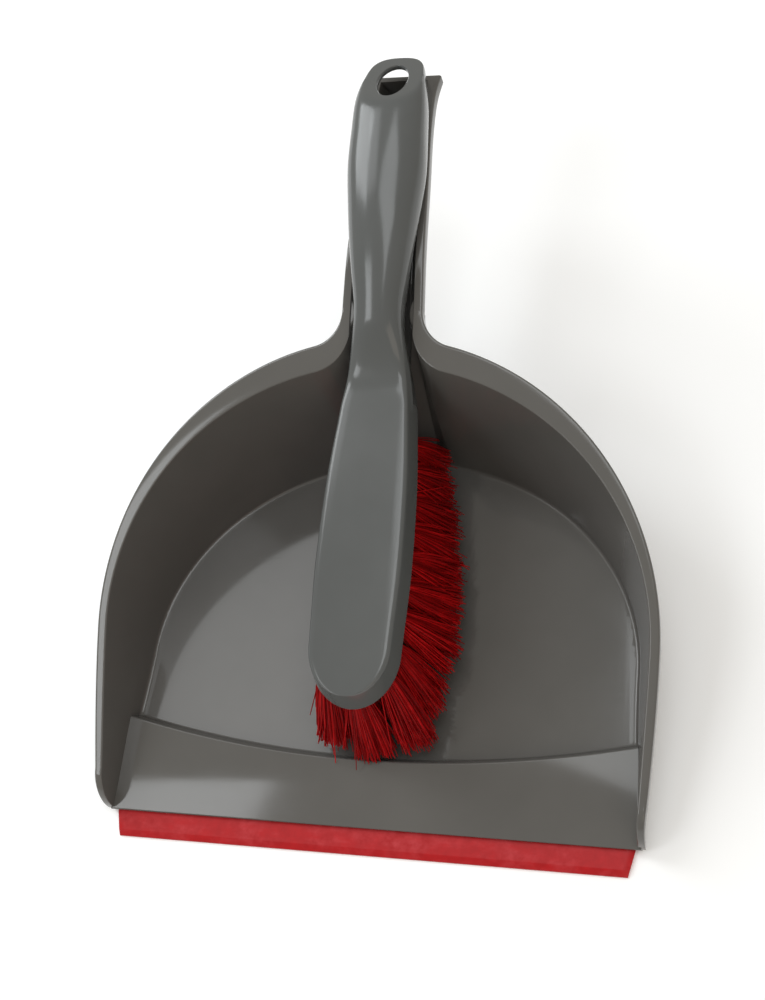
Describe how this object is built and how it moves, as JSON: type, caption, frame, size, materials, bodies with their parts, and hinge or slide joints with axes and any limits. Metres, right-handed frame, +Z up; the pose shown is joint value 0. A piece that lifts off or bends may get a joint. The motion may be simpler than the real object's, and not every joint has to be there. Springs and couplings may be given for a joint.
{
  "type": "dust pan and brush set",
  "caption": "Moulded dust pan with a red rubber lip, and a hand brush with red bristles that nests in the pan's open channel handle.",
  "frame": {"origin": "on the ground, under the middle of the set's width and length", "axes": "+Y from the lip back along the handles, +Z up, +X to the right of someone who looks from the lip towards the handles"},
  "size_m": [0.2226, 0.299, 0.111],
  "materials": {
    "pan_plastic": "satin grey polypropylene",
    "lip_rubber": "satin red soft rubber",
    "brush_plastic": "glossy grey polypropylene",
    "bristle": "satin deep red bristle",
    "staple_steel": "plain flattened wire"
  },
  "bodies": {
    "pan": {"dustpan_body": "pan_plastic", "rubber_lip": "lip_rubber"},
    "brush": {"brush_body": "brush_plastic", "tuft_left_1": "bristle", "tuft_left_2": "bristle", "tuft_left_3": "bristle", "tuft_left_4": "bristle", "tuft_left_5": "bristle", "tuft_left_6": "bristle", "tuft_left_7": "bristle", "tuft_left_8": "bristle", "tuft_left_9": "bristle", "tuft_centre_1": "bristle", "tuft_centre_2": "bristle", "tuft_centre_3": "bristle", "tuft_centre_4": "bristle", "tuft_centre_5": "bristle", "tuft_centre_6": "bristle", "tuft_centre_7": "bristle", "tuft_centre_8": "bristle", "tuft_centre_9": "bristle", "tuft_centre_10": "bristle", "tuft_right_1": "bristle", "tuft_right_2": "bristle", "tuft_right_3": "bristle", "tuft_right_4": "bristle", "tuft_right_5": "bristle", "tuft_right_6": "bristle", "tuft_right_7": "bristle", "tuft_right_8": "bristle", "tuft_right_9": "bristle", "staple_left_1": "staple_steel", "staple_left_2": "staple_steel", "staple_left_3": "staple_steel", "staple_left_4": "staple_steel", "staple_left_5": "staple_steel", "staple_left_6": "staple_steel", "staple_left_7": "staple_steel", "staple_left_8": "staple_steel", "staple_left_9": "staple_steel", "staple_centre_1": "staple_steel", "staple_centre_2": "staple_steel", "staple_centre_3": "staple_steel", "staple_centre_4": "staple_steel", "staple_centre_5": "staple_steel", "staple_centre_6": "staple_steel", "staple_centre_7": "staple_steel", "staple_centre_8": "staple_steel", "staple_centre_9": "staple_steel", "staple_centre_10": "staple_steel", "staple_right_1": "staple_steel", "staple_right_2": "staple_steel", "staple_right_3": "staple_steel", "staple_right_4": "staple_steel", "staple_right_5": "staple_steel", "staple_right_6": "staple_steel", "staple_right_7": "staple_steel", "staple_right_8": "staple_steel", "staple_right_9": "staple_steel"}
  },
  "joints": [
    {"name": "brush_lift", "type": "slide", "parent": "pan", "child": "brush", "axis": [0, 0, 1], "range_m": [0, 0.11]}
  ]
}
